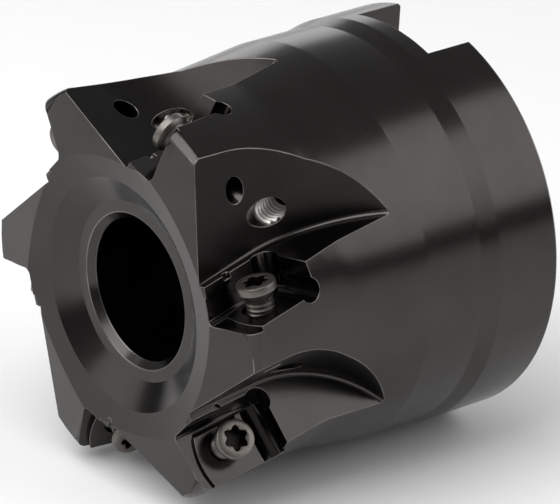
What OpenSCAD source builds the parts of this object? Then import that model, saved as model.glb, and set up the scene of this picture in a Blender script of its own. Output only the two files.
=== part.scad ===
// Shell-type face mill body with six insert seats and six Torx insert screws.
// Millimetres. Tool axis along Y: arbor (rear) face at Y = 0, teeth towards -Y, +Z up.
// Origin: centre of the rear face, on the arbor bore axis.

/* [Collar and waist] */
// Radius of the rear collar
collar_radius = 18.42; // [18.3:0.02:18.8]
// Length of the rear collar
collar_length = 6.5; // [6.2:0.1:7.0]
// Radius of the waist between collar and teeth
waist_radius = 18.05; // [17.9:0.05:18.2]
// Distance from the rear face to the front end of the waist
waist_end = 14.2; // [13.8:0.1:14.6]
// Smallest radius of the tapered outside, behind the teeth
neck_radius = 17.2; // [17.1:0.05:17.6]
// Distance from the rear face to that smallest radius
neck_height = 22.4; // [22.0:0.1:22.8]

/* [Front end] */
// Outside radius at the front corners of the teeth
tooth_radius = 18.36; // [18.2:0.02:18.6]
// Distance from the rear face to the land round the screw-head recess
land_height = 32.2; // [32.0:0.05:32.4]
// Radius of that land
land_radius = 8.1; // [7.8:0.05:8.4]
// Outer radius of the front cone
cone_radius = 10.45; // [10.2:0.05:10.8]
// Height of the front cone over the land
cone_rise = 1.4; // [1.3:0.05:1.5]
// Rounding radius of the outer front corner
corner_radius = 1.1; // [1.0:0.05:1.2]
// Backward slope of the front face of each tooth, degrees
face_slope = 8.3; // [8.0:0.1:8.6]
// Direction in which it slopes, degrees behind the seat
face_turn = 34.1; // [33:0.1:35]

/* [Bores] */
// Radius of the arbor bore
arbor_bore_radius = 8; // [7.9:0.01:8.1]
// Depth of the arbor bore from the rear face
arbor_bore_depth = 17; // [16:0.25:18]
// Radius of the recess for the clamping screw head
head_recess_radius = 6.4; // [6.3:0.05:6.6]
// Depth of that recess from its land
head_recess_depth = 9.6; // [9:0.1:10]
// Radius of the clamping screw hole
clamp_hole_radius = 4.5; // [4.3:0.05:4.7]
// Width of the chamfer at the recess mouth
recess_chamfer = 0.62; // [0.4:0.02:0.7]
// Width of the chamfer at the arbor bore mouth
bore_chamfer = 0.5; // [0.3:0.05:0.7]

/* [Drive slot] */
// Width of the drive slot across the rear face
slot_width = 9.6; // [9.2:0.05:9.8]
// Depth of the drive slot
slot_depth = 4.9; // [4.6:0.05:5.1]
// Direction of the drive slot round the axis, degrees
slot_angle = 85.1; // [84:0.1:86]

/* [Insert seats] */
// Angle of the first seat round the axis, degrees
first_seat_angle = -48.47; // [-49:0.01:-48]
// Distance of the seat screw hole from the tool axis
seat_radius = 15.21; // [15.1:0.01:15.3]
// Distance of the seat screw hole from the rear face
seat_height = 30.21; // [30.1:0.01:30.4]
// Backward lean of the seat in the radial direction, degrees
radial_rake = 5.1; // [4.8:0.1:5.4]
// Forward lean of the seat normal towards the front face, degrees
axial_rake = 10.1; // [9.8:0.1:10.4]
// Turn of the pocket outline about the seat normal, degrees
pocket_turn = 6.6; // [6.2:0.1:7.0]
// Distance from the screw axis to the foot of the radial wall
radial_wall = 2.6; // [2.55:0.01:2.65]
// Outward lean of the radial wall, degrees
wall_lean = 7; // [6:0.5:8]
// Distance from the screw axis to the rear wall of the pocket
rear_wall = 3.93; // [3.85:0.01:4.0]
// Radius of the round front edge of the seat
seat_edge_radius = 6.5; // [6.3:0.1:6.8]
// Drop from the seat to the ledge in front of it
ledge_drop = 0.4; // [0.3:0.05:0.5]

/* [Gullets] */
// Height of the gullet floor above the seat
gullet_floor = 2.78; // [2.7:0.02:2.9]
// Distance from the screw axis to the straight gullet wall
gullet_wall = 3.62; // [3.58:0.01:3.66]
// Radius of the curved run-out of the gullet
gullet_radius = 12.03; // [11.9:0.01:12.1]
// Position of the run-out centre behind the screw axis
runout_centre = 3.11; // [3.0:0.01:3.2]
// Radius of the round relief groove behind the seat
groove_radius = 1.05; // [1.0:0.01:1.1]
// Radius of the relief at the inner end of that groove
corner_relief_radius = 1.17; // [1.1:0.01:1.2]
// Radius of the coolant holes
coolant_radius = 1.25; // [1.1:0.05:1.3]

/* [Insert screws] */
// Radius of the screw head
head_radius = 1.75; // [1.7:0.01:1.8]
// Height of the head top above the seat
head_height = 2.45; // [2.4:0.01:2.6]
// Height of the cylindrical band of the head
head_band = 0.8; // [0.7:0.05:0.85]
// Height of the taper under the head
head_taper = 0.35; // [0.3:0.05:0.4]
// Length of the tapered shank between head and thread
shank_length = 0.6; // [0.5:0.05:0.65]
// Outer radius of the thread
thread_radius = 1.24; // [1.22:0.01:1.25]
// Thread pitch
thread_pitch = 0.45; // [0.44:0.01:0.46]
// Number of thread turns
thread_turns = 7; // [6:1:7]
// Tip radius of the six-lobe socket
socket_radius = 1.15; // [1.1:0.01:1.2]
// Depth of the six-lobe socket
socket_depth = 1.1; // [1.0:0.05:1.2]

/* [Hidden] */
teeth = 6;
tooth_pitch = 360 / teeth;
body_facets = 240;
hole_facets = 64;
screw_facets = 72;
overlap = 0.5;
far = 14;
rear_chamfer = 0.3;
step_length = 1.9;
cone_height = land_height + cone_rise;
crest_radius = 13.6;
crest_height = land_height + 2.1;
face_apex = land_height + 3.65;
face_sector_start = 6.5;
face_cut_height = 4;
face_cut_radius = 26;
corner_centre_radius = tooth_radius - corner_radius;
corner_top = land_height + 1.47;
corner_centre_height = corner_top - corner_radius;
corner_steps = 6;
corner_span = 78;
neck_blend = 1.6;
neck_flare = 0.17;
neck_dip = 0.03;
tapped_hole_radius = 1.29;
tapped_hole_depth = 4.1;
exit_hole_radius = 0.97;
exit_pivot = 1;
exit_tilt_rear = 1.6;
exit_tilt_in = 5.2;
exit_hole_depth = 9.5;
seat_relief_radius = 1.55;
seat_relief_depth = 0.35;
seat_relief_front = 0.15;
foot_groove_radius = 0.44;
foot_groove_height = 0.08;
groove_height = 0.4;
groove_centre = 3.4;
corner_relief_in = 2.0;
corner_relief_back = 3.2;
corner_relief_drop = 0.3;
ledge_centre_out = 0.9;
ledge_centre_back = 3.55;
ledge_in = 2.15;
ledge_front = 1.5;
wall_overrun = 1;
wall_notch_radius = 0.4;
wall_notch_in = 2.95;
wall_notch_front = 0.4;
wall_notch_depth = 0.45;
coolant_back = 5.84;
coolant_in = 3.3;
coolant_height = 5.6;
coolant_turn = 27.7;
coolant_tilt = 8.6;
coolant_length = 13.5;
coolant_lead = 2;
run_in = 26;
gullet_height = 22;
runout_offset = gullet_radius - gullet_wall;
thread_depth = 0.2;
crest_start = 0.4;
crest_end = 0.6;
tip_chamfer = 0.3;
head_edge = 0.08;
socket_lobes = 6;
socket_turn = 24;
socket_lobe_radius = 0.3;
socket_core_radius = 0.82;
thread_root_radius = thread_radius - thread_depth;
shank_radius = 1.35;
shank_foot_radius = 1.1;
thread_lead = 0.05;
shank_foot = head_height - head_band - head_taper - shank_length;
thread_start = shank_foot - thread_lead;
body_colour = [0.12, 0.11, 0.11];
screw_colour = [0.62, 0.58, 0.54];

// Outline of the turned body, radius against height over the rear face
module turned_outline() {
    corner = [
        for (i = [0 : corner_steps])
            let (a = 90 - corner_span + corner_span * i / corner_steps)
            [corner_centre_radius + corner_radius * cos(a), corner_centre_height + corner_radius * sin(a)]
    ];
    polygon(concat(
        [
            [0, 0],
            [collar_radius - rear_chamfer, 0],
            [collar_radius, rear_chamfer],
            [collar_radius, collar_length],
            [waist_radius, collar_length + step_length],
            [waist_radius, waist_end],
            [neck_radius + neck_flare, neck_height - neck_blend],
            [neck_radius + neck_dip, neck_height],
            [neck_radius + neck_flare, neck_height + neck_blend],
        ],
        corner,
        [
            [crest_radius, crest_height],
            [cone_radius, cone_height],
            [land_radius, land_height],
            [0, land_height]
        ]
    ));
}

// Arbor bore, screw hole and head recess with their chamfers
module centre_bore() {
    recess_floor = land_height - head_recess_depth;
    translate([0, 0, -overlap]) cylinder(
        r = arbor_bore_radius,
        h = arbor_bore_depth + overlap,
        $fn = body_facets
    );
    translate([0, 0, -bore_chamfer]) cylinder(
        r1 = arbor_bore_radius + 2 * bore_chamfer,
        r2 = arbor_bore_radius,
        h = 2 * bore_chamfer,
        $fn = body_facets
    );
    translate([0, 0, arbor_bore_depth - overlap]) cylinder(
        r = clamp_hole_radius,
        h = recess_floor - arbor_bore_depth + 2 * overlap,
        $fn = body_facets
    );
    translate([0, 0, recess_floor]) cylinder(
        r = head_recess_radius,
        h = head_recess_depth + overlap,
        $fn = body_facets
    );
    translate([0, 0, land_height - recess_chamfer]) cylinder(
        r1 = head_recess_radius,
        r2 = head_recess_radius + 2 * recess_chamfer,
        h = 2 * recess_chamfer,
        $fn = body_facets
    );
}

// Front face relief of one tooth, with the tooth's seat at angle 0
module face_relief() {
    sector = [for (i = [0 : 2]) face_sector_start - i * tooth_pitch / 2];
    translate([0, 0, face_apex])
        rotate([0, 0, -face_turn])
            rotate([0, face_slope, 0])
                rotate([0, 0, face_turn])
                    linear_extrude(height = face_cut_height)
                        polygon(concat([[0, 0]], [for (a = sector) face_cut_radius * [cos(a), sin(a)]]));
}

// Drive slot right across the rear face
module drive_slot() {
    rotate([0, 0, slot_angle])
        translate([-2 * collar_radius, -slot_width / 2, -overlap])
            cube([4 * collar_radius, slot_width, slot_depth + overlap]);
}

// Moves its children from the standing tool frame into the frame of one seat:
// X outward along the seat, Y towards the rear, Z out of the seat
module at_seat(number) {
    rotate([0, 0, first_seat_angle + tooth_pitch * (number - 1)])
        translate([seat_radius, 0, seat_height])
            rotate([0, 0, -radial_rake])
                rotate([-(90 - axial_rake), 0, 0])
                    rotate([0, 0, pocket_turn])
                        children();
}

// Chip gullet: straight wall, then a round run-out, flat floor
module gullet() {
    translate([0, 0, gullet_floor]) linear_extrude(height = gullet_height) {
        translate([runout_offset, runout_centre]) circle(r = gullet_radius, $fn = body_facets);
        translate([-gullet_wall, runout_centre - run_in]) square([2 * gullet_radius, run_in]);
    }
}

// Insert pocket with its leaning radial wall
module pocket() {
    rise = gullet_floor + wall_overrun;
    translate([0, rear_wall, 0])
        rotate([90, 0, 0])
            linear_extrude(height = far) polygon([
                [-radial_wall, 0],
                [far, 0],
                [far, rise],
                [-radial_wall - rise * tan(wall_lean), rise]
            ]);
    translate([foot_groove_radius - radial_wall, rear_wall, foot_groove_height])
        rotate([90, 0, 0])
            cylinder(r = foot_groove_radius, h = far, $fn = hole_facets);
}

// Ledge in front of the round seat edge
module seat_ledge() {
    translate([0, 0, -ledge_drop]) linear_extrude(height = ledge_drop + overlap) difference() {
        translate([-ledge_in, -far]) square([far, far - ledge_front]);
        translate([ledge_centre_out, ledge_centre_back]) circle(r = seat_edge_radius, $fn = body_facets);
    }
}

// Round relief groove behind the seat and the relief at its inner end
module seat_relief() {
    translate([-corner_relief_in, groove_centre, groove_height])
        rotate([0, 90, 0])
            cylinder(r = groove_radius, h = far, $fn = hole_facets);
    translate([-corner_relief_in, corner_relief_back, -corner_relief_drop])
        cylinder(r = corner_relief_radius, h = gullet_floor + wall_overrun, $fn = hole_facets);
}

// Tapped hole through the tooth, with the relief round its mouth
module screw_hole() {
    translate([0, 0, -tapped_hole_depth])
        cylinder(r = tapped_hole_radius, h = tapped_hole_depth + overlap, $fn = hole_facets);
    translate([0, 0, -exit_pivot])
        rotate([exit_tilt_rear, exit_tilt_in, 0])
            translate([0, 0, -exit_hole_depth])
                cylinder(r = exit_hole_radius, h = exit_hole_depth, $fn = hole_facets);
    translate([0, -seat_relief_front, -seat_relief_depth])
        cylinder(r = seat_relief_radius, h = seat_relief_depth + overlap, $fn = hole_facets);
}

// Small notch in the top edge of the radial wall
module wall_notch() {
    translate([-wall_notch_in, -wall_notch_front, gullet_floor - wall_notch_depth])
        cylinder(r = wall_notch_radius, h = 2 * wall_notch_depth, $fn = hole_facets);
}

// Coolant hole from the gullet wall to the bore
module coolant_hole() {
    translate([-coolant_in, coolant_back, coolant_height])
        rotate([0, 0, coolant_turn])
            rotate([-90 - coolant_tilt, 0, 0])
                translate([0, 0, -coolant_lead])
                    cylinder(r = coolant_radius, h = coolant_length + coolant_lead, $fn = hole_facets);
}

// Steel cutter body, standing on its rear face
module standing_body() {
    difference() {
        rotate_extrude($fn = body_facets) turned_outline();
        centre_bore();
        drive_slot();
        for (i = [1 : teeth]) rotate([0, 0, first_seat_angle + tooth_pitch * (i - 1)]) face_relief();
        for (i = [1 : teeth]) at_seat(i) {
            gullet();
            pocket();
            seat_ledge();
            seat_relief();
            screw_hole();
            wall_notch();
            coolant_hole();
        }
    }
}

// Outline of one screw, radius against height over the seat
module screw_outline() {
    tip = thread_start - thread_turns * thread_pitch;
    thread = [
        for (i = [0 : thread_turns - 1])
            let (z = thread_start - i * thread_pitch)
            each [
                [thread_root_radius, z],
                [thread_radius, z - crest_start * thread_pitch],
                [thread_radius, z - crest_end * thread_pitch]
            ]
    ];
    polygon(concat(
        [
            [0, head_height],
            [head_radius - head_edge, head_height],
            [head_radius, head_height - head_edge],
            [head_radius, head_height - head_band],
            [shank_radius, head_height - head_band - head_taper],
            [shank_foot_radius, shank_foot]
        ],
        thread,
        [
            [thread_root_radius, tip],
            [thread_root_radius - tip_chamfer, tip - tip_chamfer],
            [0, tip - tip_chamfer]
        ]
    ));
}

// Six-lobe socket in the screw head
module socket() {
    translate([0, 0, head_height - socket_depth]) linear_extrude(height = socket_depth + overlap) {
        circle(r = socket_core_radius, $fn = hole_facets);
        for (i = [1 : socket_lobes])
            rotate(360 * i / socket_lobes - socket_turn)
                translate([socket_radius - socket_lobe_radius, 0])
                    circle(r = socket_lobe_radius, $fn = hole_facets);
    }
}

// One insert screw, standing in its seat frame
module screw() {
    difference() {
        rotate_extrude($fn = screw_facets) screw_outline();
        socket();
    }
}

// Lays the standing tool on its side
module laid_down() {
    rotate([90, 0, 0]) children();
}

module cutter_body() {
    color(body_colour) laid_down() standing_body();
}

module insert_screw_1() {
    color(screw_colour) laid_down() at_seat(1) screw();
}

module insert_screw_2() {
    color(screw_colour) laid_down() at_seat(2) screw();
}

module insert_screw_3() {
    color(screw_colour) laid_down() at_seat(3) screw();
}

module insert_screw_4() {
    color(screw_colour) laid_down() at_seat(4) screw();
}

module insert_screw_5() {
    color(screw_colour) laid_down() at_seat(5) screw();
}

module insert_screw_6() {
    color(screw_colour) laid_down() at_seat(6) screw();
}

cutter_body();
insert_screw_1();
insert_screw_2();
insert_screw_3();
insert_screw_4();
insert_screw_5();
insert_screw_6();
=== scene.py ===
import math

import bmesh
import bpy
from mathutils import Matrix, Vector
from mathutils.kdtree import KDTree


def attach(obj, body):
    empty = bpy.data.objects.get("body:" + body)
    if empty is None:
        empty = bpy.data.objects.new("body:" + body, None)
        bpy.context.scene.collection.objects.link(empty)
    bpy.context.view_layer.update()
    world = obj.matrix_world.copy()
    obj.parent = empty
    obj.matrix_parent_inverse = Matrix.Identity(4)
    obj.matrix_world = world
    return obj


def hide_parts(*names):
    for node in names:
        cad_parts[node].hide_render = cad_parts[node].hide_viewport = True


bl_info = {
    "name": "Face mill",
    "version": (1, 0, 0),
    "blender": (4, 5, 0),
    "location": "View3D > Sidebar > Face mill",
    "description": "Builds a blackened face mill with its insert screws, finishes and studio",
    "category": "Object",
}

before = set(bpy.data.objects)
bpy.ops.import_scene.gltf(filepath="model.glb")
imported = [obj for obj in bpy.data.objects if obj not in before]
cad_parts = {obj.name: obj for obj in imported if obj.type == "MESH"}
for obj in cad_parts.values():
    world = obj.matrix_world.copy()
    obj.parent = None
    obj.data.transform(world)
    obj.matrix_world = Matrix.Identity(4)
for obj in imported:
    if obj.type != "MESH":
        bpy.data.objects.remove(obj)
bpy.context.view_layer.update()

# Soft boxes: name, place, target, width and height in metres, power in watts
SOFT_BOXES = (
    ("overhead_soft_box", (0.0, -0.2, 0.34), (0, 0, -0.018), 0.42, 0.42, 1.75),
    ("right_soft_box", (0.578, 0.485, 0.49), (0, 0, 0), 0.85, 0.76, 3.3),
    ("rear_left_soft_box", (-0.93, 0.73, 0.2), (0, 0, 0), 0.9, 0.4, 1.5),
    ("front_left_soft_box", (-0.51, -0.66, 0.33), (0, 0, 0), 0.6, 0.5, 1.0),
)

TEETH = 6
TOOTH_PITCH = math.radians(60)
HALF_TURN = math.radians(180)

# Material slots of the cutter body: oxide, the painted edge highlight, and a slot that first marks the
# gullet fillets and then holds the painted shade of the gullet walls
OXIDE, EDGE_HIGHLIGHT, GULLET_FILLET_AND_SHADE = 0, 1, 2

# How closely corners and faces are matched, in metres and radians
WELD_GAP = 0.000002
THREAD_WELD_GAP = 0.0000005
CUT_TOLERANCE = 0.0000001
MATCH_GAP = 0.000003
WALL_TOLERANCE = 0.00003
FLAT_ANGLE = math.radians(0.03)
SAME_FACE_ANGLE = math.radians(12)
BLEND_ANGLE = math.radians(20)
FOOT_ANGLE = math.radians(60)
SMOOTH_ANGLE = math.radians(30)

# Facets of a screw and steps of one thread turn
ROUND_FACETS = 96
THREAD_STEPS = 48


# ---------------------------------------------------------------- settings


class BodySettings(bpy.types.PropertyGroup):
    """Edges and colours of the blackened cutter body"""

    edge_break: bpy.props.FloatProperty(
        name="Edge break",
        description="Width of the bevel on every sharp outer edge, which gets the painted highlight",
        default=0.00006,
        min=0.00002,
        max=0.0002,
        unit="LENGTH",
    )
    sharp_angle: bpy.props.FloatProperty(
        name="Sharp angle",
        description="Edges that turn more than this get the bevel",
        default=math.radians(28),
        subtype="ANGLE",
    )
    gullet_fillet: bpy.props.FloatProperty(
        name="Gullet fillet",
        description="Radius of the round corner between the floor and the wall of a chip gullet",
        default=0.00036,
        min=0.0001,
        max=0.0004,
        unit="LENGTH",
    )
    corner_start: bpy.props.FloatProperty(
        name="Corner start",
        description="Distance from the rear face to the rounded front corner",
        default=0.0325,
        unit="LENGTH",
    )
    corner_inside: bpy.props.FloatProperty(
        name="Corner inside",
        description="Radius inside which the front corner isn't rounded",
        default=0.0171,
        unit="LENGTH",
    )
    neck_start: bpy.props.FloatProperty(
        name="Neck start",
        description="Distance from the rear face to the start of the neck blend",
        default=0.0206,
        unit="LENGTH",
    )
    neck_end: bpy.props.FloatProperty(
        name="Neck end",
        description="Distance from the rear face to the end of the neck blend",
        default=0.0242,
        unit="LENGTH",
    )
    neck_inside: bpy.props.FloatProperty(
        name="Neck inside",
        description="Radius inside which the neck isn't blended",
        default=0.0168,
        unit="LENGTH",
    )
    oxide_colour: bpy.props.FloatVectorProperty(
        name="Oxide colour",
        description="Reflection colour of the black oxide",
        default=(0.056, 0.052, 0.050),
        subtype="COLOR",
        size=3,
        min=0.0,
        max=1.0,
    )
    # Painted highlight: the edge bevels get this lighter colour to stand in for the thin bright edge
    # highlights.
    edge_highlight_colour: bpy.props.FloatVectorProperty(
        name="Edge highlight colour",
        description="Lighter colour painted on the edge bevels as a highlight",
        default=(0.15, 0.142, 0.135),
        subtype="COLOR",
        size=3,
        min=0.0,
        max=1.0,
    )
    # Painted shade: the gullet walls get this darker colour in place of the dark they show.
    gullet_shade_colour: bpy.props.FloatVectorProperty(
        name="Gullet shade colour",
        description="Darker colour painted on the gullet walls as shade",
        default=(0.026, 0.024, 0.023),
        subtype="COLOR",
        size=3,
        min=0.0,
        max=1.0,
    )
    oxide_roughness: bpy.props.FloatProperty(
        name="Oxide roughness",
        description="Roughness of the satin oxide",
        default=0.21,
        min=0.0,
        max=1.0,
    )


class SeatSettings(bpy.types.PropertyGroup):
    """Where the six insert seats stand on the cutter"""

    first_angle: bpy.props.FloatProperty(
        name="First seat",
        description="Angle of the first seat round the tool axis",
        default=math.radians(-48.47),
        subtype="ANGLE",
    )
    radius: bpy.props.FloatProperty(
        name="Seat radius",
        description="Distance of a seat screw from the tool axis",
        default=0.01521,
        unit="LENGTH",
    )
    height: bpy.props.FloatProperty(
        name="Seat height",
        description="Distance of a seat screw from the rear face",
        default=0.03021,
        unit="LENGTH",
    )
    radial_rake: bpy.props.FloatProperty(
        name="Radial rake",
        description="Backward lean of a seat in the radial direction",
        default=math.radians(5.1),
        subtype="ANGLE",
    )
    axial_rake: bpy.props.FloatProperty(
        name="Axial rake",
        description="Lean of a seat towards the front face",
        default=math.radians(10.1),
        subtype="ANGLE",
    )
    pocket_turn: bpy.props.FloatProperty(
        name="Pocket turn",
        description="Turn of the pocket outline about the seat screw",
        default=math.radians(6.6),
        subtype="ANGLE",
    )
    gullet_floor: bpy.props.FloatProperty(
        name="Gullet floor",
        description="Height of the gullet floor over the seat",
        default=0.00278,
        unit="LENGTH",
    )
    gullet_wall: bpy.props.FloatProperty(
        name="Gullet wall",
        description="Distance of the straight gullet wall from the seat screw",
        default=0.00362,
        unit="LENGTH",
    )
    runout_radius: bpy.props.FloatProperty(
        name="Run-out radius",
        description="Radius of the curved run-out of a gullet",
        default=0.01203,
        unit="LENGTH",
    )
    runout_centre: bpy.props.FloatProperty(
        name="Run-out centre",
        description="Distance of the run-out centre behind the seat screw",
        default=0.00311,
        unit="LENGTH",
    )


class ScrewSettings(bpy.types.PropertyGroup):
    """Sizes and colour of the insert screws"""

    head_radius: bpy.props.FloatProperty(
        name="Head radius",
        description="Radius of the screw head",
        default=0.00175,
        unit="LENGTH",
    )
    head_top: bpy.props.FloatProperty(
        name="Head top",
        description="Height of the head top over the seat",
        default=0.00245,
        unit="LENGTH",
    )
    head_band: bpy.props.FloatProperty(
        name="Head band",
        description="Height of the straight band of the head",
        default=0.0008,
        unit="LENGTH",
    )
    head_taper: bpy.props.FloatProperty(
        name="Head taper",
        description="Height of the taper under the head",
        default=0.00035,
        unit="LENGTH",
    )
    shank_length: bpy.props.FloatProperty(
        name="Shank length",
        description="Length of the tapered shank between head and thread",
        default=0.0006,
        unit="LENGTH",
    )
    shank_radius: bpy.props.FloatProperty(
        name="Shank radius",
        description="Radius of the shank under the head",
        default=0.00135,
        unit="LENGTH",
    )
    shank_foot_radius: bpy.props.FloatProperty(
        name="Shank foot radius",
        description="Radius of the shank over the thread",
        default=0.0011,
        unit="LENGTH",
    )
    thread_radius: bpy.props.FloatProperty(
        name="Thread radius",
        description="Outer radius of the thread",
        default=0.00124,
        unit="LENGTH",
    )
    thread_depth: bpy.props.FloatProperty(
        name="Thread depth",
        description="Depth of the thread groove",
        default=0.0002,
        unit="LENGTH",
    )
    thread_pitch: bpy.props.FloatProperty(
        name="Thread pitch",
        description="Distance from one thread turn to the next",
        default=0.00045,
        unit="LENGTH",
    )
    thread_turns: bpy.props.IntProperty(
        name="Thread turns",
        description="Number of thread turns",
        default=7,
    )
    socket_radius: bpy.props.FloatProperty(
        name="Socket radius",
        description="Tip radius of the six-lobe socket",
        default=0.00115,
        unit="LENGTH",
    )
    socket_depth: bpy.props.FloatProperty(
        name="Socket depth",
        description="Depth of the six-lobe socket",
        default=0.0011,
        unit="LENGTH",
    )
    socket_turn: bpy.props.FloatProperty(
        name="Socket turn",
        description="Turn of the six-lobe socket about the screw axis",
        default=math.radians(24),
        subtype="ANGLE",
    )
    steel_colour: bpy.props.FloatVectorProperty(
        name="Screw colour",
        description="Reflection colour of the screw steel",
        default=(0.16, 0.146, 0.134),
        subtype="COLOR",
        size=3,
        min=0.0,
        max=1.0,
    )
    # Painted shade: the socket recess gets this near-black colour.
    socket_shade_colour: bpy.props.FloatVectorProperty(
        name="Socket shade colour",
        description="Dark colour painted inside the socket as shade",
        default=(0.02, 0.018, 0.017),
        subtype="COLOR",
        size=3,
        min=0.0,
        max=1.0,
    )


class CoolantThreadSettings(bpy.types.PropertyGroup):
    """The bright tapped thread inside each coolant hole"""

    mouth: bpy.props.FloatVectorProperty(
        name="Mouth",
        description="Middle of the coolant hole on the gullet wall, in the frame of its seat",
        default=(-0.0033, 0.00584, 0.0056),
        subtype="TRANSLATION",
        size=3,
    )
    turn: bpy.props.FloatProperty(
        name="Turn",
        description="Turn of the coolant hole about the seat normal",
        default=math.radians(27.7),
        subtype="ANGLE",
    )
    tilt: bpy.props.FloatProperty(
        name="Tilt",
        description="Tilt of the coolant hole",
        default=math.radians(8.6),
        subtype="ANGLE",
    )
    hole_radius: bpy.props.FloatProperty(
        name="Hole radius",
        description="Radius of the coolant hole",
        default=0.00125,
        unit="LENGTH",
    )
    crest_radius: bpy.props.FloatProperty(
        name="Crest radius",
        description="Radius to which the thread crests stand in",
        default=0.00104,
        unit="LENGTH",
    )
    pitch: bpy.props.FloatProperty(
        name="Pitch",
        description="Distance from one thread turn to the next",
        default=0.0007,
        unit="LENGTH",
    )
    depth: bpy.props.FloatProperty(
        name="Depth",
        description="Where the thread starts on the hole's axis, cut off along the gullet wall",
        default=0.0004,
        unit="LENGTH",
    )
    turns: bpy.props.IntProperty(
        name="Turns",
        description="Number of thread turns",
        default=7,
    )
    # Bare thread steel, with the colour raised near white as painted light so the thread reads as lit.
    thread_steel_and_light_colour: bpy.props.FloatVectorProperty(
        name="Thread colour",
        description="Reflection colour of the bright thread crests",
        default=(0.92, 0.88, 0.84),
        subtype="COLOR",
        size=3,
        min=0.0,
        max=1.0,
    )


class StageSettings(bpy.types.PropertyGroup):
    """Camera, floor and studio lights"""

    lens: bpy.props.FloatProperty(
        name="Lens",
        description="Focal length of the camera in millimetres",
        default=321.4,
        min=10.0,
    )
    azimuth: bpy.props.FloatProperty(
        name="Azimuth",
        description="Turn of the camera round the vertical, from looking along +Y",
        default=math.radians(51.48),
        subtype="ANGLE",
    )
    elevation: bpy.props.FloatProperty(
        name="Elevation",
        description="Height of the camera over the horizon",
        default=math.radians(22.74),
        subtype="ANGLE",
    )
    camera_place: bpy.props.FloatVectorProperty(
        name="Camera place",
        description="Position of the camera",
        default=(0.3162, -0.2680, 0.1689),
        subtype="TRANSLATION",
        size=3,
    )
    floor_colour: bpy.props.FloatVectorProperty(
        name="Floor colour",
        description="Colour of the plain studio floor",
        default=(0.9, 0.9, 0.9),
        subtype="COLOR",
        size=3,
        min=0.0,
        max=1.0,
    )
    floor_height: bpy.props.FloatProperty(
        name="Floor height",
        description="Height of the floor under the lying cutter",
        default=-0.01845,
        unit="LENGTH",
    )


# ---------------------------------------------------------------- helpers


def deselect_all():
    """Leave edit mode and deselect every object."""
    if bpy.context.object and bpy.context.object.mode != "OBJECT":
        bpy.ops.object.mode_set(mode="OBJECT")
    bpy.ops.object.select_all(action="DESELECT")


def make_active(piece):
    """Select one piece alone and make it the active one."""
    deselect_all()
    piece.select_set(True)
    bpy.context.view_layer.objects.active = piece


def apply_modifiers(piece):
    """Apply all modifiers of a piece, in order."""
    make_active(piece)
    for modifier in list(piece.modifiers):
        bpy.ops.object.modifier_apply(modifier=modifier.name)


def edit_all(piece, *steps):
    """Run edit-mode steps on the whole mesh of a piece."""
    make_active(piece)
    bpy.ops.object.mode_set(mode="EDIT")
    bpy.ops.mesh.select_all(action="SELECT")
    for step in steps:
        step()
    bpy.ops.object.mode_set(mode="OBJECT")


def bevel_edges(piece, wanted, width, segments, material):
    """Bevel the edges of a piece that pass the wanted test; material -1 keeps the faces' own."""
    make_active(piece)
    mesh = bmesh.new()
    mesh.from_mesh(piece.data)
    for face in mesh.faces:
        face.select_set(False)
    for edge in mesh.edges:
        edge.select_set(False)
    found = [edge for edge in mesh.edges if len(edge.link_faces) == 2 and wanted(edge)]
    if not found:
        raise RuntimeError("no edge found to bevel on " + piece.name)
    for edge in found:
        edge.select = True
        for corner in edge.verts:
            corner.select = True
    mesh.select_mode = {"EDGE"}
    mesh.to_mesh(piece.data)
    mesh.free()
    bpy.context.tool_settings.mesh_select_mode = (False, True, False)
    bpy.ops.object.mode_set(mode="EDIT")
    bpy.ops.mesh.bevel(
        offset=width,
        offset_type="OFFSET",
        segments=segments,
        profile=0.5,
        affect="EDGES",
        clamp_overlap=False,
        miter_outer="SHARP",
        material=material,
    )
    bpy.ops.object.mode_set(mode="OBJECT")


def seat_frame(number):
    """Matrix from the frame of one seat to the tool: X outward, Y rearward, Z out of the seat."""
    seat = bpy.context.scene.facemill_seat
    return (
        Matrix.Rotation(HALF_TURN / 2, 4, "X")
        @ Matrix.Rotation(seat.first_angle + TOOTH_PITCH * (number - 1), 4, "Z")
        @ Matrix.Translation((seat.radius, 0, seat.height))
        @ Matrix.Rotation(-seat.radial_rake, 4, "Z")
        @ Matrix.Rotation(seat.axial_rake - HALF_TURN / 2, 4, "X")
        @ Matrix.Rotation(seat.pocket_turn, 4, "Z")
    )


def merged_copy(node_name, piece_name):
    """A copy of a CAD node with its loose triangles joined."""
    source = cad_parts[node_name]
    piece = source.copy()
    piece.data = source.data.copy()
    piece.name = piece_name
    piece.data.name = piece_name
    piece.parent = None
    for key in list(piece.keys()):
        if key.startswith("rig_"):
            del piece[key]
    bpy.context.scene.collection.objects.link(piece)
    piece.data.materials.clear()
    edit_all(
        piece,
        lambda: bpy.ops.mesh.remove_doubles(threshold=WELD_GAP),
        lambda: bpy.ops.mesh.normals_make_consistent(inside=False),
        lambda: bpy.ops.mesh.customdata_custom_splitnormals_clear(),
        lambda: bpy.ops.mesh.dissolve_limited(angle_limit=FLAT_ANGLE),
    )
    return piece


def exact_normals(source):
    """Where the corners of a CAD node are, with the face and surface normals met there."""
    mesh = source.data
    tree = KDTree(len(mesh.vertices))
    met = [[] for _ in mesh.vertices]
    for vertex in mesh.vertices:
        tree.insert(vertex.co, vertex.index)
    tree.balance()
    for face in mesh.polygons:
        for loop in face.loop_indices:
            met[mesh.loops[loop].vertex_index].append(
                (face.normal.copy(), mesh.corner_normals[loop].vector.copy())
            )
    return tree, met


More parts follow.
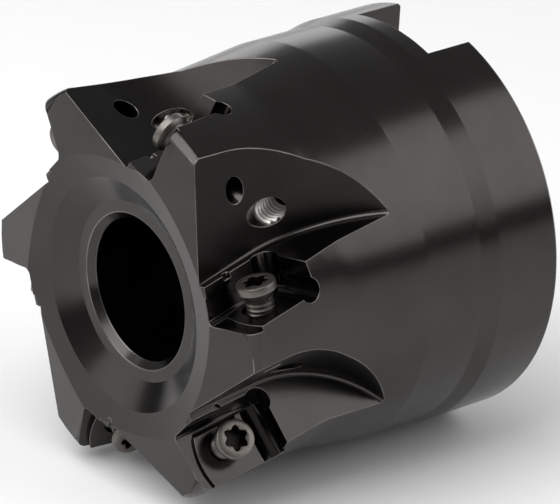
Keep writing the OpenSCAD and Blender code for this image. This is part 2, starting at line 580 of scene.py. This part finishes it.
def best_normal(lookup, place, facing):
    """Surface normal at the nearest corner of the CAD node, on the face that points most this way."""
    tree, met = lookup
    best = None
    score = math.cos(SAME_FACE_ANGLE)
    for _, index, _ in tree.find_range(place, tree.find(place)[2] + MATCH_GAP):
        for face_normal, surface_normal in met[index]:
            if face_normal.dot(facing) > score:
                score = face_normal.dot(facing)
                best = surface_normal
    return best or facing


def sum_of_near(normals, facing, least):
    """Sum of the normals that point nearly the way of facing."""
    total = Vector()
    for normal in normals:
        if normal.dot(facing) > least:
            total += normal
    return total


def smooth_from_source(piece, lookup, blended):
    """Give every corner the surface normal it has on the CAD node; bevels blend between them."""
    mesh = piece.data
    normals = [None] * len(mesh.loops)
    at_vertex = [[] for _ in mesh.vertices]
    for face in mesh.polygons:
        if face.material_index:
            continue
        for loop in face.loop_indices:
            vertex = mesh.loops[loop].vertex_index
            normal = best_normal(lookup, mesh.vertices[vertex].co, face.normal)
            normals[loop] = normal
            at_vertex[vertex].append(normal)
    bevel_reach = 0.3
    for face in mesh.polygons:
        for loop in face.loop_indices:
            vertex = mesh.loops[loop].vertex_index
            if face.material_index:
                total = sum_of_near(at_vertex[vertex], face.normal, bevel_reach)
                own = mesh.vertex_normals[vertex].vector.copy()
                normals[loop] = total.normalized() if total.length else own
            elif blended(mesh.vertices[vertex].co):
                own = best_normal(lookup, mesh.vertices[vertex].co, face.normal)
                normals[loop] = sum_of_near(at_vertex[vertex], own, math.cos(BLEND_ANGLE)).normalized()
    mesh.shade_smooth()
    mesh.normals_split_custom_set(normals)


# ---------------------------------------------------------------- materials


def new_material(name):
    """An empty node material with its shader joined to the output."""
    material = bpy.data.materials.new(name)
    material.use_nodes = True
    nodes = material.node_tree.nodes
    nodes.clear()
    output = nodes.new("ShaderNodeOutputMaterial")
    shader = nodes.new("ShaderNodeBsdfPrincipled")
    material.node_tree.links.new(shader.outputs["BSDF"], output.inputs["Surface"])
    return material, nodes, material.node_tree.links, shader


def object_noise(nodes, links, scale, detail, stretch=(1, 1, 1)):
    """Noise that sits on the piece, stretched along its axes."""
    coords = nodes.new("ShaderNodeTexCoord")
    mapping = nodes.new("ShaderNodeMapping")
    mapping.inputs["Scale"].default_value = stretch
    noise = nodes.new("ShaderNodeTexNoise")
    noise.inputs["Scale"].default_value = scale
    noise.inputs["Detail"].default_value = detail
    links.new(coords.outputs["Object"], mapping.inputs["Vector"])
    links.new(mapping.outputs["Vector"], noise.inputs["Vector"])
    return noise


def ramp_between(nodes, links, source, low, high, low_at=0.3, high_at=0.7):
    """Colour that runs from low to high as the source rises."""
    ramp = nodes.new("ShaderNodeValToRGB")
    ramp.color_ramp.elements[0].position = low_at
    ramp.color_ramp.elements[1].position = high_at
    ramp.color_ramp.elements[0].color = (*low, 1)
    ramp.color_ramp.elements[1].color = (*high, 1)
    links.new(source, ramp.inputs["Fac"])
    return ramp.outputs["Color"]


def roughness_between(nodes, links, source, low, high, low_at=0.3, high_at=0.7):
    """Roughness that runs from low to high as the source rises."""
    spread = nodes.new("ShaderNodeMapRange")
    spread.inputs["From Min"].default_value = low_at
    spread.inputs["From Max"].default_value = high_at
    spread.inputs["To Min"].default_value = low
    spread.inputs["To Max"].default_value = high
    links.new(source, spread.inputs["Value"])
    return spread.outputs["Result"]


def relief(nodes, links, height, strength, distance, under=None):
    """Bump from a height, laid over another bump where one is given."""
    bump = nodes.new("ShaderNodeBump")
    bump.inputs["Strength"].default_value = strength
    bump.inputs["Distance"].default_value = distance
    links.new(height, bump.inputs["Height"])
    if under:
        links.new(under, bump.inputs["Normal"])
    return bump.outputs["Normal"]


def steel_material(name, colour, roughness, mottling, grain, turning=0.0):
    """Metal with fine mottled colour, uneven roughness, faint grain and rings left by turning."""
    cloud_scale, cloud_detail = 240, 5
    grain_scale, grain_detail, grain_height = 5200, 3, 0.0000015
    ring_scale, ring_detail, ring_height = 100, 4, 0.000004
    ring_stretch = (0.3, 45, 0.3)
    unevenness = 0.15
    material, nodes, links, shader = new_material(name)
    shader.inputs["Metallic"].default_value = 1.0
    darker = tuple(part * (1 - mottling) for part in colour)
    lighter = tuple(part * (1 + mottling) for part in colour)
    cloud = object_noise(nodes, links, cloud_scale, cloud_detail).outputs["Fac"]
    links.new(ramp_between(nodes, links, cloud, darker, lighter), shader.inputs["Base Color"])
    specks = object_noise(nodes, links, grain_scale, grain_detail).outputs["Fac"]
    smoother = roughness * (1 - unevenness)
    rougher = roughness * (1 + unevenness)
    links.new(roughness_between(nodes, links, specks, smoother, rougher), shader.inputs["Roughness"])
    surface = relief(nodes, links, specks, grain, grain_height)
    if turning:
        rings = object_noise(nodes, links, ring_scale, ring_detail, ring_stretch).outputs["Fac"]
        surface = relief(nodes, links, rings, turning, ring_height, surface)
    links.new(surface, shader.inputs["Normal"])
    return material


# ---------------------------------------------------------------- cutter body


def is_gullet_foot(edge):
    """Edge between the floor and the wall of a chip gullet."""
    if edge.is_convex or edge.calc_face_angle() < FOOT_ANGLE:
        return False
    for number in range(1, TEETH + 1):
        into_seat = seat_frame(number).inverted()
        if all(on_gullet_foot(into_seat @ corner.co) for corner in edge.verts):
            return True
    return False


def on_gullet_foot(place):
    """Whether a place in the frame of a seat is on the line where gullet floor and wall meet."""
    seat = bpy.context.scene.facemill_seat
    if abs(place.z - seat.gullet_floor) > WALL_TOLERANCE:
        return False
    before_runout = place.y < seat.runout_centre + WALL_TOLERANCE
    if before_runout and abs(place.x + seat.gullet_wall) < WALL_TOLERANCE:
        return True
    across = place.x + seat.gullet_wall - seat.runout_radius
    along = place.y - seat.runout_centre
    return abs(math.hypot(across, along) - seat.runout_radius) < WALL_TOLERANCE


def is_sharp_outside(edge):
    """Edge that sticks out and turns more than the sharp angle."""
    return edge.is_convex and edge.calc_face_angle() > bpy.context.scene.facemill_body.sharp_angle


def is_gullet_wall(face):
    """Face on the wall of a chip gullet, where the painted shade goes."""
    seat = bpy.context.scene.facemill_seat
    upright = 0.05
    facing_gullet = 0.9
    gullet_end = 0.012
    for number in range(1, TEETH + 1):
        into_seat = seat_frame(number).inverted()
        centre = into_seat @ face.center
        facing = into_seat.to_3x3() @ face.normal
        if centre.z < seat.gullet_floor or abs(facing.z) > upright or centre.x > gullet_end:
            continue
        runout = Vector((seat.runout_radius - seat.gullet_wall, seat.runout_centre, centre.z))
        to_runout = runout - centre
        if centre.y < seat.runout_centre and abs(centre.x + seat.gullet_wall) < WALL_TOLERANCE:
            return facing.x > facing_gullet
        off_curve = abs(to_runout.length - seat.runout_radius)
        if centre.y > seat.runout_centre and off_curve < 3 * WALL_TOLERANCE:
            return facing.dot(to_runout.normalized()) > facing_gullet
    return False


def is_turned_round(place):
    """Where the turned outline is one rounded surface: the front corner and the blend of the neck."""
    settings = bpy.context.scene.facemill_body
    out = math.hypot(place.x, place.z)
    behind = -place.y
    front_corner = behind > settings.corner_start and out > settings.corner_inside
    in_neck = settings.neck_start < behind < settings.neck_end
    return front_corner or (in_neck and out > settings.neck_inside)


class FACEMILL_OT_cutter_body(bpy.types.Operator):
    """Finish the cutter body: joined surfaces, gullet fillets, edge bevels with a painted highlight,
    black oxide, gullet walls with painted shade
    """

    bl_idname = "facemill.cutter_body"
    bl_label = "Cutter body"

    def execute(self, context):
        settings = context.scene.facemill_body
        lookup = exact_normals(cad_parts["cutter_body"])
        piece = merged_copy("cutter_body", "blackened_cutter_body")
        oxide = steel_material(
            "black oxide",
            settings.oxide_colour,
            roughness=settings.oxide_roughness,
            mottling=0.07,
            grain=0.25,
            turning=0.5,
        )
        # Lighter colour on the edge bevels: a painted highlight.
        edge_highlight = steel_material(
            "painted edge highlight",
            settings.edge_highlight_colour,
            roughness=0.3,
            mottling=0.35,
            grain=0.25,
        )
        for finish in (oxide, edge_highlight, oxide):
            piece.data.materials.append(finish)
        bevel_edges(piece, is_gullet_foot, settings.gullet_fillet, segments=5, material=GULLET_FILLET_AND_SHADE)
        bevel_edges(piece, is_sharp_outside, settings.edge_break, segments=2, material=EDGE_HIGHLIGHT)
        smooth_from_source(piece, lookup, is_turned_round)
        # Darker colour on the gullet walls: painted shade.
        piece.data.materials[GULLET_FILLET_AND_SHADE] = steel_material(
            "gullet oxide with painted shade",
            settings.gullet_shade_colour,
            roughness=0.32,
            mottling=0.1,
            grain=0.6,
        )
        # Fillet faces go back to plain oxide; the gullet walls take the painted shade.
        for face in piece.data.polygons:
            if face.material_index == GULLET_FILLET_AND_SHADE:
                face.material_index = OXIDE
            elif face.material_index == OXIDE and is_gullet_wall(face):
                face.material_index = GULLET_FILLET_AND_SHADE
        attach(piece, "cutter")
        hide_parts("cutter_body")
        return {"FINISHED"}


# ---------------------------------------------------------------- insert screws


def lathe(name, outline):
    """Turn an outline, radius against height, by extruding and scaling one ring after another."""
    deselect_all()
    radius, height = outline[0]
    bpy.ops.mesh.primitive_circle_add(
        vertices=ROUND_FACETS,
        radius=radius,
        fill_type="NGON",
        location=(0, 0, height),
    )
    piece = bpy.context.object
    piece.name = name
    bpy.ops.object.transform_apply(location=True)
    bpy.ops.object.mode_set(mode="EDIT")
    bpy.ops.mesh.select_all(action="SELECT")
    for next_radius, next_height in outline[1:]:
        rise = next_height - height
        bpy.ops.mesh.extrude_region_move(TRANSFORM_OT_translate={"value": (0, 0, rise)})
        ratio = next_radius / radius
        bpy.ops.transform.resize(value=(ratio, ratio, 1), center_override=(0, 0, next_height))
        radius, height = next_radius, next_height
    bpy.ops.mesh.select_all(action="SELECT")
    bpy.ops.mesh.normals_make_consistent(inside=False)
    bpy.ops.object.mode_set(mode="OBJECT")
    return piece


def helical_ridge(name, root, crest, pitch, turns, start, flat, foot):
    """A thread ridge: one closed section wound along a helix. Flat and foot are shares of the pitch."""
    deselect_all()
    bpy.ops.mesh.primitive_plane_add(size=1)
    piece = bpy.context.object
    piece.name = name
    section = ((root, foot / 2), (root, -foot / 2), (crest, -flat / 2), (crest, flat / 2))
    for corner, (radius, along) in zip(piece.data.vertices, section_order(piece, section)):
        corner.co = (radius, 0, start + along * pitch)
    winding = piece.modifiers.new("Winding", "SCREW")
    winding.axis = "Z"
    winding.angle = -2 * HALF_TURN
    winding.screw_offset = pitch
    winding.iterations = turns
    winding.steps = THREAD_STEPS
    winding.render_steps = THREAD_STEPS
    apply_modifiers(piece)
    edit_all(
        piece,
        lambda: bpy.ops.mesh.remove_doubles(threshold=THREAD_WELD_GAP),
        lambda: bpy.ops.mesh.fill_holes(sides=0),
        lambda: bpy.ops.mesh.normals_make_consistent(inside=False),
    )
    return piece


def section_order(piece, section):
    """The section's corners in the order of the plane's vertices."""
    walk = piece.data.polygons[0].vertices
    order = {vertex: place for vertex, place in zip(walk, section)}
    return [order[vertex.index] for vertex in piece.data.vertices]


def six_lobe_cutter(settings):
    """Prism with the six-lobe outline of the socket."""
    deselect_all()
    lobes = 6
    lobe_depth = 0.14
    mean = settings.socket_radius * (1 - lobe_depth)
    swing = settings.socket_radius * lobe_depth
    bottom = settings.head_top - settings.socket_depth
    bpy.ops.mesh.primitive_cylinder_add(
        vertices=ROUND_FACETS,
        radius=mean,
        depth=settings.socket_depth * 2,
        location=(0, 0, settings.head_top),
    )
    piece = bpy.context.object
    piece.name = "six_lobe_cutter"
    bpy.ops.object.transform_apply(location=True)
    wave = {}
    for vertex in piece.data.vertices:
        angle = math.atan2(vertex.co.y, vertex.co.x) + settings.socket_turn
        wave.setdefault(round(math.cos(lobes * angle), 3), []).append(vertex.index)
    bpy.context.tool_settings.mesh_select_mode = (True, False, False)
    for level, members in wave.items():
        bpy.ops.object.mode_set(mode="EDIT")
        bpy.ops.mesh.select_all(action="DESELECT")
        bpy.ops.object.mode_set(mode="OBJECT")
        for index in members:
            piece.data.vertices[index].select = True
        bpy.ops.object.mode_set(mode="EDIT")
        ratio = 1 + level * swing / mean
        bpy.ops.transform.resize(value=(ratio, ratio, 1), center_override=(0, 0, bottom))
        bpy.ops.object.mode_set(mode="OBJECT")
    return piece


def copy_to_seat(master, name, number, place):
    """A copy of a master piece, with its own mesh, put in place at one seat."""
    make_active(master)
    bpy.ops.object.duplicate(linked=False)
    piece = bpy.context.object
    piece.name = "%s_%d" % (name, number)
    piece.data.name = piece.name
    piece.matrix_world = seat_frame(number) @ place
    bpy.ops.object.transform_apply(location=True, rotation=True, scale=True)
    return piece


def screw_outline(settings):
    """Outline of a screw without its thread, radius against height, from the head top to the tip."""
    head = settings.head_radius
    edge = 0.00012
    crown = 0.00002
    thread_relief = 0.00004
    tip_chamfer = (0.00026, 0.00028)
    top = settings.head_top
    band_end = top - settings.head_band
    taper_end = band_end - settings.head_taper
    shank = settings.shank_radius
    shank_foot = taper_end - settings.shank_length
    core = settings.thread_radius - settings.thread_depth
    tip = screw_tip(settings)
    return [
        (head * 0.72, top),
        (head * 0.86, top - crown),
        (head - edge, top - edge * 0.45),
        (head - edge * 0.4, top - edge * 0.75),
        (head, top - edge * 1.5),
        (head, band_end + edge * 0.6),
        (head - edge * 0.5, band_end),
        (shank + edge * 0.5, taper_end + edge * 0.4),
        (shank, taper_end),
        (settings.shank_foot_radius, shank_foot),
        (core, shank_foot - thread_relief),
        (core, tip),
        (core - tip_chamfer[0], tip - tip_chamfer[1]),
    ]


def screw_tip(settings):
    """Height of the last thread turn of a screw."""
    thread_lead = 0.00005
    above_thread = settings.head_band + settings.head_taper + settings.shank_length + thread_lead
    return settings.head_top - above_thread - settings.thread_turns * settings.thread_pitch


class FACEMILL_OT_insert_screws(bpy.types.Operator):
    """Model one insert screw with its socket and wound thread, and copy it to the six seats"""

    bl_idname = "facemill.insert_screws"
    bl_label = "Insert screws"

    def execute(self, context):
        settings = context.scene.facemill_screw
        top = settings.head_top
        socket_edge = 0.00005
        master = lathe("insert_screw_master", screw_outline(settings))
        cutter = six_lobe_cutter(settings)
        make_active(master)
        cut = master.modifiers.new("Socket", "BOOLEAN")
        cut.operation = "DIFFERENCE"
        cut.solver = "EXACT"
        cut.object = cutter
        apply_modifiers(master)
        bpy.data.objects.remove(cutter)

        def is_socket_rim(edge):
            sharp = edge.is_convex and edge.calc_face_angle() > FOOT_ANGLE
            return sharp and edge.verts[0].co.z > top - 2 * socket_edge

        bevel_edges(master, is_socket_rim, socket_edge, segments=2, material=-1)
        core_overlap = 0.00002
        thread = helical_ridge(
            "insert_screw_thread",
            root=settings.thread_radius - settings.thread_depth - core_overlap,
            crest=settings.thread_radius,
            pitch=settings.thread_pitch,
            turns=settings.thread_turns,
            start=screw_tip(settings) + 0.6 * settings.thread_pitch,
            flat=0.16,
            foot=0.92,
        )
        make_active(master)
        thread.select_set(True)
        bpy.ops.object.join()
        make_active(master)
        bpy.ops.object.shade_smooth_by_angle(angle=SMOOTH_ANGLE)
        steel = steel_material(
            "screw steel",
            settings.steel_colour,
            roughness=0.4,
            mottling=0.2,
            grain=0.5,
        )
        # Near-black colour inside the socket: painted shade in the recess.
        socket_shade = steel_material(
            "socket with painted shade",
            settings.socket_shade_colour,
            roughness=0.45,
            mottling=0.2,
            grain=0.3,
        )
        master.data.materials.clear()
        master.data.materials.append(steel)
        master.data.materials.append(socket_shade)
        # Faces inside the socket take the painted shade.
        socket_reach = settings.socket_radius + 0.00001
        socket_low, socket_high = top - 0.0013, top - 0.00007
        for face in master.data.polygons:
            inside = math.hypot(face.center.x, face.center.y) < socket_reach
            face.material_index = int(inside and socket_low < face.center.z < socket_high)
        for number in range(1, TEETH + 1):
            screw = copy_to_seat(master, "seat_screw", number, Matrix())
            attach(screw, "screw_%d" % number)
            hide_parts("insert_screw_%d" % number)
        bpy.data.objects.remove(master)
        return {"FINISHED"}


# ---------------------------------------------------------------- coolant holes


class FACEMILL_OT_coolant_threads(bpy.types.Operator):
    """Wind the bright tapped thread inside each of the six coolant holes"""

    bl_idname = "facemill.coolant_threads"
    bl_label = "Coolant hole threads"

    def execute(self, context):
        settings = context.scene.facemill_coolant
        hole_clearance = 0.000005
        below_wall = 0.00012
        master = helical_ridge(
            "coolant_thread_master",
            root=settings.hole_radius - hole_clearance,
            crest=settings.crest_radius,
            pitch=settings.pitch,
            turns=settings.turns,
            start=settings.depth,
            flat=0.2,
            foot=0.5,
        )
        into_hole = (
            Matrix.Translation(settings.mouth)
            @ Matrix.Rotation(settings.turn, 4, "Z")
            @ Matrix.Rotation(-HALF_TURN / 2 - settings.tilt, 4, "X")
        )
        wall = context.scene.facemill_seat.gullet_wall + below_wall
        facing = into_hole.to_3x3().inverted() @ Vector((1, 0, 0))
        on_wall = into_hole.inverted() @ Vector((-wall, 0, 0))
        edit_all(
            master,
            lambda: bpy.ops.mesh.bisect(
                plane_co=on_wall,
                plane_no=facing,
                use_fill=True,
                clear_outer=True,
                threshold=CUT_TOLERANCE,
            ),
            lambda: bpy.ops.mesh.normals_make_consistent(inside=False),
        )
        make_active(master)
        bpy.ops.object.shade_smooth_by_angle(angle=SMOOTH_ANGLE)
        # Near-white thread: bare steel, brightened further as painted light.
        bright = steel_material(
            "bare thread with painted light",
            settings.thread_steel_and_light_colour,
            roughness=0.45,
            mottling=0.04,
            grain=0.2,
        )
        master.data.materials.append(bright)
        for number in range(1, TEETH + 1):
            thread = copy_to_seat(master, "coolant_thread", number, into_hole)
            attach(thread, "cutter")
        bpy.data.objects.remove(master)
        return {"FINISHED"}


# ---------------------------------------------------------------- studio


def soft_light(name, place, target, width, height, power):
    """A soft box that stands in one place and faces another; sizes in metres, power in watts."""
    deselect_all()
    bpy.ops.object.light_add(type="AREA", location=place)
    lamp = bpy.context.object
    lamp.name = name
    lamp.data.name = name
    lamp.data.shape = "RECTANGLE"
    lamp.data.size = width
    lamp.data.size_y = height
    lamp.data.energy = power
    aim = Vector(target) - Vector(place)
    lamp.rotation_euler = aim.to_track_quat("-Z", "Y").to_euler()
    return lamp


class FACEMILL_OT_stage(bpy.types.Operator):
    """Add the plain floor, the soft lights and the camera"""

    bl_idname = "facemill.stage"
    bl_label = "Studio"

    def execute(self, context):
        settings = context.scene.facemill_stage
        deselect_all()
        bpy.ops.mesh.primitive_plane_add(size=6.0, location=(0, 0, settings.floor_height))
        floor = bpy.context.object
        floor.name = "studio_floor"
        material, nodes, links, shader = new_material("plain pale floor")
        shader.inputs["Base Color"].default_value = (*settings.floor_colour, 1)
        shader.inputs["Roughness"].default_value = 0.9
        floor.data.materials.append(material)

        for soft_box in SOFT_BOXES:
            soft_light(*soft_box)

        low_air, high_air = (0.02,) * 3, (0.8,) * 3
        horizon, full_light = 0.02, 0.3
        world = bpy.data.worlds.new("studio air")
        world.use_nodes = True
        air = world.node_tree.nodes
        joints = world.node_tree.links
        direction = air.new("ShaderNodeTexCoord")
        split = air.new("ShaderNodeSeparateXYZ")
        joints.new(direction.outputs["Generated"], split.inputs["Vector"])
        joints.new(
            ramp_between(air, joints, split.outputs["Z"], low_air, high_air, horizon, full_light),
            air["Background"].inputs["Color"],
        )
        air["Background"].inputs["Strength"].default_value = 0.35
        context.scene.world = world
        context.scene.view_settings.view_transform = "Standard"

        bpy.ops.object.camera_add(
            location=settings.camera_place,
            rotation=(HALF_TURN / 2 - settings.elevation, 0, settings.azimuth),
        )
        camera = bpy.context.object
        camera.name = "studio_camera"
        camera.data.lens = settings.lens
        camera.data.sensor_width = 36.0
        camera.data.clip_start = 0.01
        context.scene.camera = camera
        return {"FINISHED"}


class FACEMILL_PT_panel(bpy.types.Panel):
    """Buttons and settings of the face mill"""

    bl_idname = "FACEMILL_PT_panel"
    bl_label = "Face mill"
    bl_space_type = "VIEW_3D"
    bl_region_type = "UI"
    bl_category = "Face mill"

    def draw(self, context):
        column = self.layout.column()
        for operator in OPERATORS:
            column.operator(operator.bl_idname)
        for group in GROUPS:
            settings = getattr(context.scene, group)
            for name in settings.__annotations__:
                column.prop(settings, name)


OPERATORS = (
    FACEMILL_OT_cutter_body,
    FACEMILL_OT_insert_screws,
    FACEMILL_OT_coolant_threads,
    FACEMILL_OT_stage,
)
GROUPS = {
    "facemill_body": BodySettings,
    "facemill_seat": SeatSettings,
    "facemill_screw": ScrewSettings,
    "facemill_coolant": CoolantThreadSettings,
    "facemill_stage": StageSettings,
}
CLASSES = (*GROUPS.values(), *OPERATORS, FACEMILL_PT_panel)


def register():
    """Register the settings, operators and panel."""
    for cls in CLASSES:
        bpy.utils.register_class(cls)
    for name, group in GROUPS.items():
        setattr(bpy.types.Scene, name, bpy.props.PointerProperty(type=group))


def unregister():
    """Remove the settings, operators and panel."""
    for name in GROUPS:
        delattr(bpy.types.Scene, name)
    for cls in reversed(CLASSES):
        bpy.utils.unregister_class(cls)


def main():
    """Build every piece in order."""
    register()
    bpy.ops.facemill.cutter_body()
    bpy.ops.facemill.insert_screws()
    bpy.ops.facemill.coolant_threads()
    bpy.ops.facemill.stage()
    bpy.context.view_layer.update()


if __name__ == "__main__":
    main()
